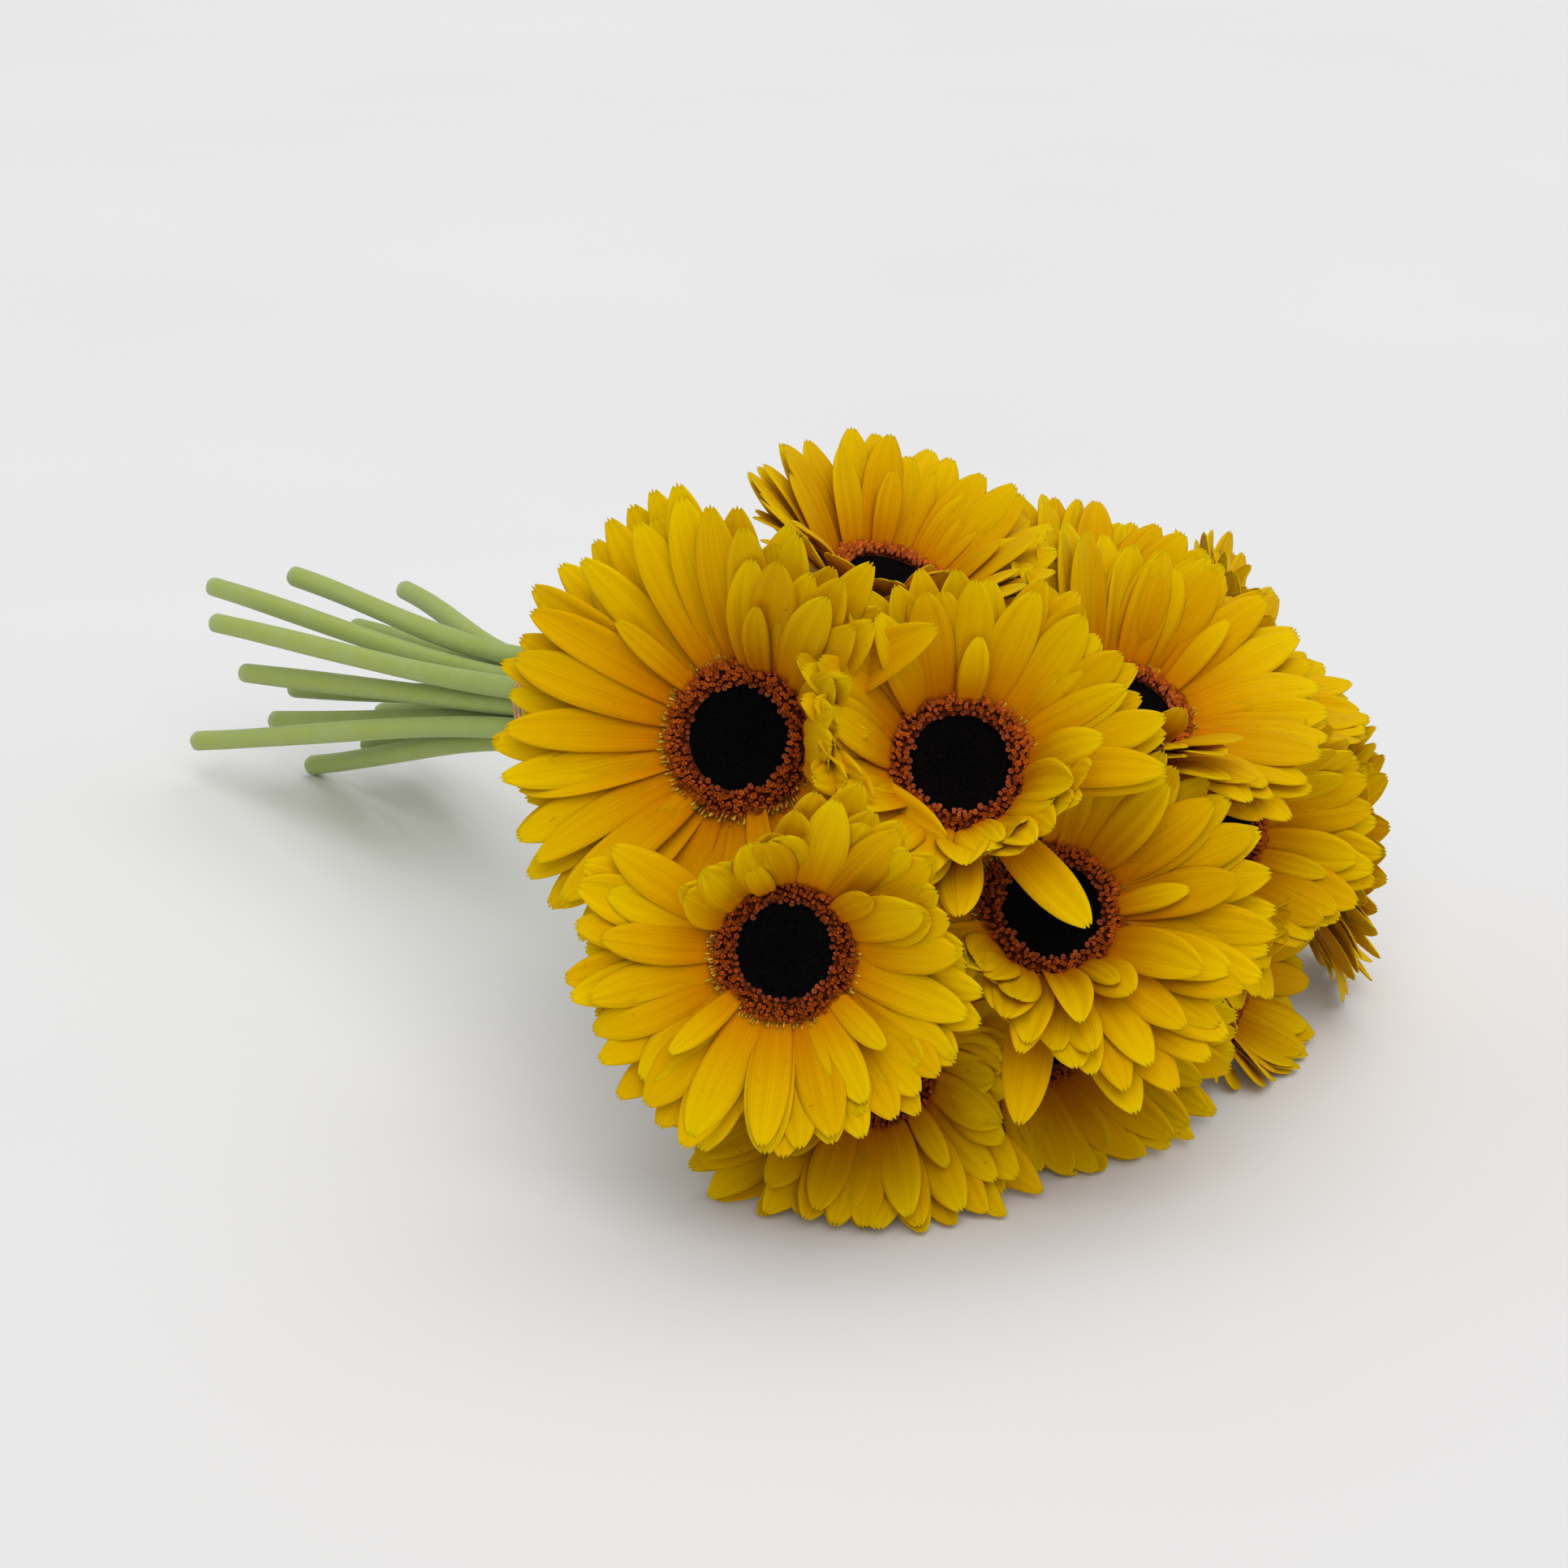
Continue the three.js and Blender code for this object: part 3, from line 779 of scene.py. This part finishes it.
# %% The green finishes
def green_material(name, low, high, pale, scale):
    """Plant green with soft blotches, fine lengthwise streaks and a bloom of down."""
    material, shader, add, join = new_material(name)
    place = add("ShaderNodeTexCoord").outputs["Object"]
    blotch_noise = {"Vector": place, "Scale": scale, "Detail": 4.0, "Roughness": 0.6}
    blotch = add("ShaderNodeTexNoise", blotch_noise).outputs["Fac"]
    along = add("ShaderNodeAttribute", attribute_name="rise").outputs["Fac"]
    ends = add_ramp(add, along, [(0.0, low), (0.25, low), (0.8, high), (1.0, high)])
    blotches = add_ramp(add, blotch, [(0.42, (0, 0, 0)), (0.75, (0.55, 0.55, 0.55))])
    body = add_mix(add, "MIX", blotches, ends, (*pale, 1))
    fine = add("ShaderNodeTexNoise", {"Vector": place, "Scale": 2600.0, "Detail": 2.0}).outputs["Fac"]
    down = add_ramp(add, fine, [(0.3, (0.72, 0.76, 0.7)), (0.7, (1.1, 1.1, 1.1))])
    body = add_mix(add, "MULTIPLY", 0.5, body, down)
    join(body, shader.inputs["Base Color"])
    shader.inputs["Roughness"].default_value = 0.7
    shader.inputs["Specular IOR Level"].default_value = 0.25
    shader.inputs["Sheen Weight"].default_value = 0.35
    shader.inputs["Sheen Roughness"].default_value = 0.4
    shader.inputs["Sheen Tint"].default_value = (0.9, 1.0, 0.85, 1)
    shader.inputs["Subsurface Weight"].default_value = 0.12
    shader.inputs["Subsurface Radius"].default_value = (0.5, 0.8, 0.2)
    shader.inputs["Subsurface Scale"].default_value = 0.002
    bump = add("ShaderNodeBump", {"Height": fine, "Strength": 0.35, "Distance": 0.0003})
    join(bump.outputs["Normal"], shader.inputs["Normal"])
    return material


CALYX = green_material("calyx_green", (0.15, 0.25, 0.04), (0.12, 0.21, 0.03), (0.28, 0.36, 0.12), 220.0)
STEM = green_material("stem_green", (0.36, 0.43, 0.085), (0.24, 0.33, 0.085), (0.38, 0.46, 0.18), 90.0)

# %% The cup and its bracts
CALYX_RIM = 13.6  # radius of the model cup's rim, in millimetres
CALYX_RIM_INSET = 1.0  # the rim is this much smaller in radius than the disc
# the cup's side, as (radius, height) from the stem up to the rim, in millimetres
CALYX_OUTLINE = [(3.6, -21.5), (5.2, -19.5), (8.6, -16.0), (11.4, -12.0), (13.1, -7.6), (CALYX_RIM, -5.2)]
CUP_STEPS = 32
# count, start and end as shares of the outline, width and stand-off in millimetres
BRACT_ROWS = [(20, 0.35, 0.99, 4.2, 0.2), (18, 0.15, 0.86, 3.8, 0.7), (14, 0.0, 0.58, 3.2, 1.1)]
BRACT_END = 0.995  # no bract runs further than this
BRACT_THICKNESS = 0.5 * MM
BRACT_SEED = 3


def cup_at(share):
    """Radius and height on the cup at a share of its outline, in millimetres."""
    place = share * (len(CALYX_OUTLINE) - 1)
    i = min(int(place), len(CALYX_OUTLINE) - 2)
    (r0, h0), (r1, h1) = CALYX_OUTLINE[i], CALYX_OUTLINE[i + 1]
    return r0 + (r1 - r0) * (place - i), h0 + (h1 - h0) * (place - i)


def add_bract(bm, bearing, start, end, width, stand_off):
    """A lance-shaped grid laid along the cup."""
    made = bmesh.ops.create_grid(bm, x_segments=2, y_segments=6, size=1.0)
    layer = bm.verts.layers.float["rise"]
    for vert in made["verts"]:
        s, t = (vert.co.y + 1) / 2, vert.co.x
        radius, height = cup_at(start + (end - start) * s)
        half = width / 2 * (0.75 + 0.5 * s) * (1 - s**3)
        lifted = stand_off * (0.3 + s) + 0.5 * (1 - t * t)
        vert.co = Vector((radius + lifted, half * t, height)) * MM
        vert[layer] = s
    bmesh.ops.rotate(bm, verts=made["verts"], cent=(0, 0, 0), matrix=Matrix.Rotation(bearing, 3, "Z"))


def model_bracts(seed):
    draw = random.Random(seed)
    bm = new_part()
    for count, start, end, width, stand_off in BRACT_ROWS:
        first = draw.uniform(0, math.tau)
        for i in range(count):
            bearing = first + math.tau * (i + draw.uniform(-0.12, 0.12)) / count
            add_bract(bm, bearing, start, min(BRACT_END, end * draw.uniform(0.94, 1.04)), width, stand_off)
    return bm


# %% A calyx on every flower
cup_outline = [(0, -21.6), *CALYX_OUTLINE, (0, -5.0)]
model_cup = spun_part([(radius * MM, height * MM) for radius, height in cup_outline], CUP_STEPS)
bracts = model_bracts(BRACT_SEED)
for flower in FLOWERS:
    wide = (flower.disc / MM - CALYX_RIM_INSET) / CALYX_RIM
    scale = Matrix.Diagonal((wide, wide, 1, 1))
    spin = flower.random.uniform(0, math.tau)
    cup = place_model(model_cup, flower, scale, spin)
    finish_piece("calyx_cup_" + flower.number, cup, [CALYX], "calyx_" + flower.number)
    leaves = place_model(bracts, flower, scale, spin)
    name = "calyx_bracts_" + flower.number
    finish_piece(name, leaves, [CALYX], None, thickness=BRACT_THICKNESS, levels=1)
model_cup.free()
bracts.free()
print("bracts in a calyx:", sum(row[0] for row in BRACT_ROWS))

# %% [markdown]
# ## The stems
# A gerbera's stem is a bare, downy stalk, a little ribbed, that thickens into the calyx. Its line is read
# from the frame by walking from ring to ring of its node, and smoothed. A circle is then extruded from
# station to station along that line, and the cut end is inset and pushed in for its hollow pith.

# %% Reading a stem's line
SAME_POINT = 0.02 * MM
FRAME_SIDES = 8  # corners in each ring of a frame stem


def loose_points(node):
    """A frame node's corners, each once."""
    seen = {}
    for vert in NODES[node].data.vertices:
        seen[tuple(round(c / SAME_POINT) for c in vert.co)] = vert.co.copy()
    return list(seen.values())


def stem_line(number):
    """The middles of the rings of a stem, from the cut end to the head."""
    left = loose_points("stem_" + number)
    head = middle_of("calyx_" + number)
    left.sort(key=lambda p: -(p - head).length)
    here = sum(left[:FRAME_SIDES], Vector()) / FRAME_SIDES
    line = []
    while len(left) >= FRAME_SIDES:
        left.sort(key=lambda p: (p - here).length)
        ring, left = left[:FRAME_SIDES], left[FRAME_SIDES:]
        line.append(sum(ring, Vector()) / FRAME_SIDES)
        here = line[-1] + ((line[-1] - line[-2]) * 0.9 if len(line) > 1 else Vector())
    return line


def smooth_line(points, count):
    """Catmull-Rom points through the given ones."""
    ends = [points[0] * 2 - points[1]] + points + [points[-1] * 2 - points[-2]]
    result = []
    spans = len(points) - 1
    for k in range(count + 1):
        place = k / count * spans
        i = min(int(place), spans - 1)
        u = place - i
        a, b, c, d = ends[i : i + 4]
        square = (2 * a - 5 * b + 4 * c - d) * u**2
        cube = (3 * b - a - 3 * c + d) * u**3
        result.append(0.5 * (2 * b + (c - a) * u + square + cube))
    return result


# %% Extruding a stem
STEM_RADIUS = 3.2
STATIONS = 70
SIDES = 20
HEAD_SWELL = 0.14  # how much thicker a stem is where it enters its calyx
STEM_WAVE = 0.03
RIB_DEPTH = 0.018
RIBS = 5
# how far in, and how high, each step of the cut end goes, in millimetres
CUT_STEPS = [(0.35, 0.25), (0.7, 0.05), (0.5, -0.9)]


def next_ring(bm, ring, edges):
    """Extrudes a ring of corners. The new ring keeps the old one's order."""
    made = bmesh.ops.extrude_edge_only(bm, edges=edges)["geom"]
    new_edges = [g for g in made if isinstance(g, bmesh.types.BMEdge)]
    place = {vert: k for k, vert in enumerate(ring)}
    order = {}
    for vert in (g for g in made if isinstance(g, bmesh.types.BMVert)):
        partner = next(e.other_vert(vert) for e in vert.link_edges if e.other_vert(vert) in place)
        order[place[partner]] = vert
    return [order[k] for k in range(len(ring))], new_edges


def make_stem(flower):
    line = smooth_line(stem_line(flower.number), STATIONS)
    tangents = [(line[min(i + 1, STATIONS)] - line[max(i - 1, 0)]).normalized() for i in range(STATIONS + 1)]
    phase = flower.random.uniform(0, math.tau)
    bm = bmesh.new()
    layer = bm.verts.layers.float.new("rise")

    def set_ring(ring, i, side):
        up = tangents[i].cross(side)
        share = i / STATIONS
        swell = 1.0 + HEAD_SWELL * share**10 + STEM_WAVE * math.sin(share * 21 + phase)
        for k, vert in enumerate(ring):
            a = math.tau * k / SIDES
            rib = 1 + RIB_DEPTH * math.cos(RIBS * a + phase + share * 2)
            r = STEM_RADIUS * swell * rib * MM
            vert.co = line[i] + (side * math.cos(a) + up * math.sin(a)) * r
            vert[layer] = share

    side = tangents[0].orthogonal().normalized()
    ring = bmesh.ops.create_circle(bm, cap_ends=False, segments=SIDES, radius=1.0)["verts"]
    edges = list({e for v in ring for e in v.link_edges})
    set_ring(ring, 0, side)
    for i in range(1, STATIONS + 1):
        ring, edges = next_ring(bm, ring, edges)
        side = (side - tangents[i] * side.dot(tangents[i])).normalized()
        set_ring(ring, i, side)
    caps = bmesh.ops.holes_fill(bm, edges=[e for e in bm.edges if e.is_boundary])["faces"]
    bmesh.ops.recalc_face_normals(bm, faces=bm.faces[:])
    cut = min(caps, key=lambda f: (f.calc_center_median() - line[0]).length)
    for step_in, step_up in CUT_STEPS:
        bmesh.ops.inset_region(bm, faces=[cut], thickness=step_in * MM, depth=step_up * MM)
    return finish_piece("stem_stalk_" + flower.number, bm, [STEM], "stem_" + flower.number)


for flower in FLOWERS:
    stem = make_stem(flower)
print("faces in a stem:", len(stem.data.polygons))

# %% [markdown]
# ## The rubber band
# A florist's rubber band goes round the stems several times. Each turn is a flat loop, spun from one small
# rectangle. Its round outline is then drawn in to follow the outline of the frame's band, and each turn
# sits a little askew from its neighbours.

# %% The rubber band
def rubber_material():
    material, shader, add, join = new_material("rubber_tan")
    place = add("ShaderNodeTexCoord").outputs["Object"]
    dust = add("ShaderNodeTexNoise", {"Vector": place, "Scale": 700.0, "Detail": 3.0}).outputs["Fac"]
    rubber = add_ramp(add, dust, [(0.35, (0.40, 0.21, 0.075)), (0.7, (0.52, 0.31, 0.13))])
    join(rubber, shader.inputs["Base Color"])
    shader.inputs["Roughness"].default_value = 0.62
    bump = add("ShaderNodeBump", {"Height": dust, "Strength": 0.2, "Distance": 0.0002})
    join(bump.outputs["Normal"], shader.inputs["Normal"])
    return material


BAND_TURNS = 4
TURN_STEPS = 72
TURN_PITCH = 1.75 * MM
TURN_SHIFT = 1.2 * MM  # the turns sit this far towards the heads
TURN_THICKNESS = 1.1 * MM
TURN_WIDTH = 1.6 * MM
TURN_INSET = 0.75 * MM  # from the frame band's outside to the middle of a turn
TURN_SKEW = 0.5 * MM
TURN_CORNERS = ((-0.5, -0.5), (0.5, -0.5), (0.5, 0.5), (-0.5, 0.5))


def waist_axis():
    """The mean direction of the stems at the waist, towards the heads."""
    axis = Vector()
    for number in NUMBERS:
        line = stem_line(number)
        near = min(range(1, len(line) - 1), key=lambda i: (line[i] - waist).length)
        axis += (line[near + 1] - line[near - 1]).normalized()
    axis.normalize()
    return -axis if axis.x < 0 else axis


def band_corners(side, up):
    """The frame band's outer corners, as (angle, radius) round the waist, in order of angle."""
    outer = {}
    for point in loose_points("rubber_band"):
        x, y = (point - waist).dot(side), (point - waist).dot(up)
        angle = round(math.atan2(y, x), 2)
        outer[angle] = max(outer.get(angle, 0), math.hypot(x, y))
    return sorted(outer.items())


def band_radius(corners, angle):
    """The radius of the band's outline at an angle, on the straight line between two corners."""
    angle = math.remainder(angle, math.tau)
    first, last = corners[0], corners[-1]
    around = [(last[0] - math.tau, last[1]), *corners, (first[0] + math.tau, first[1])]
    for (a0, r0), (a1, r1) in zip(around, around[1:]):
        if a0 <= angle <= a1:
            if a1 - a0 <= 0.02:
                return r0 + (r1 - r0) * (angle - a0) / max(a1 - a0, 1e-9)
            return r0 * r1 * math.sin(a1 - a0) / (r0 * math.sin(angle - a0) + r1 * math.sin(a1 - angle))
    return first[1]


def round_turn():
    """One turn as a round ring about Z, one unit in radius, spun from its small rectangle."""
    ring = new_part()
    points = [ring.verts.new((1 + x * TURN_THICKNESS, 0, y * TURN_WIDTH)) for x, y in TURN_CORNERS]
    edges = [ring.edges.new(pair) for pair in zip(points, points[1:] + points[:1])]
    middle, up = (0, 0, 0), (0, 0, 1)
    bmesh.ops.spin(
        ring, geom=points + edges, cent=middle, axis=up, angle=math.tau, steps=TURN_STEPS, use_merge=True
    )
    return ring


def make_band():
    axis = waist_axis()
    side = axis.orthogonal().normalized()
    up = axis.cross(side)
    corners = band_corners(side, up)
    bm = new_part()
    for turn in range(BAND_TURNS):
        along = (turn - (BAND_TURNS - 1) / 2) * TURN_PITCH + TURN_SHIFT
        skew = TURN_SKEW * math.sin(turn * 2.3)
        ring = round_turn()
        for vert in ring.verts:
            angle = math.atan2(vert.co.y, vert.co.x)
            out = side * math.cos(angle) + up * math.sin(angle)
            radius = band_radius(corners, angle) - TURN_INSET + vert.co.xy.length - 1
            vert.co = waist + out * radius + axis * (along + skew * math.sin(angle + turn) + vert.co.z)
        pour(bm, ring)
    bmesh.ops.remove_doubles(bm, verts=bm.verts[:], dist=0.001 * MM)
    bmesh.ops.recalc_face_normals(bm, faces=bm.faces[:])
    return finish_piece("band_turns", bm, [rubber_material()], "rubber_band", levels=1)


make_band()
